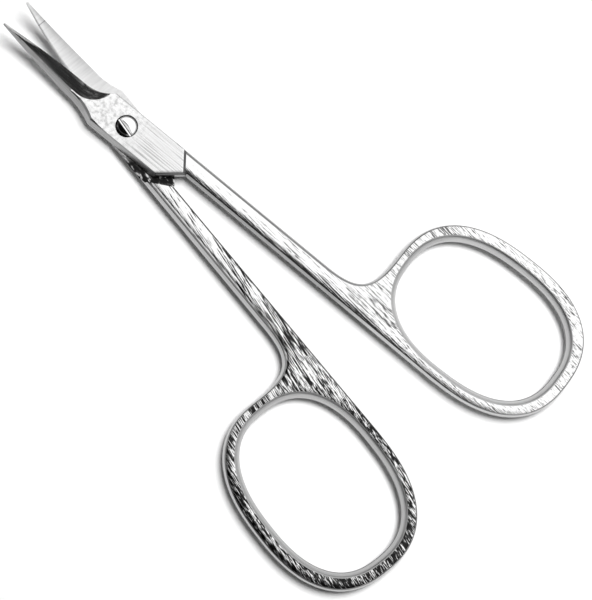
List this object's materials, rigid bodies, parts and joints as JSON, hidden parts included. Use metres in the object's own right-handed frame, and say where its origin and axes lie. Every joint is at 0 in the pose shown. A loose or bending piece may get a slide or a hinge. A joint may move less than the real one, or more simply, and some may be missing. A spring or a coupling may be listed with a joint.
{
  "type": "cuticle scissors",
  "caption": "All-steel cuticle scissors with slim tapering blades that curve upwards, a half-lap pivot with a slotted screw, straight shanks and oval finger bows.",
  "frame": {"origin": "pivot axis, in the plane of the flat lower face of the lap, where the screw's end is flush", "axes": "+X from the pivot towards the blade tips along the line midway between the halves, +Z along the pivot screw towards its slotted head, +Y towards the spine of the upper blade; stored partly open, at 11.2 degrees between the halves"},
  "size_m": [0.0879, 0.0536, 0.0051],
  "materials": {
    "top_half": "belt-ground faces, satin sides, polished bevel",
    "bottom_half": "belt-ground faces, satin sides, ground inner face",
    "pivot_screw": "polished domed head"
  },
  "bodies": {
    "threaded_half": {"bottom_half": "bottom_half", "pivot_screw": "pivot_screw"},
    "screw_head_half": {"top_half": "top_half"}
  },
  "joints": [
    {"name": "blade_pivot", "type": "hinge", "parent": "threaded_half", "child": "screw_head_half", "pos_m": [0, 0, 0.0018], "axis": [0, 0, 1], "range_deg": [-10.8, 80]}
  ]
}
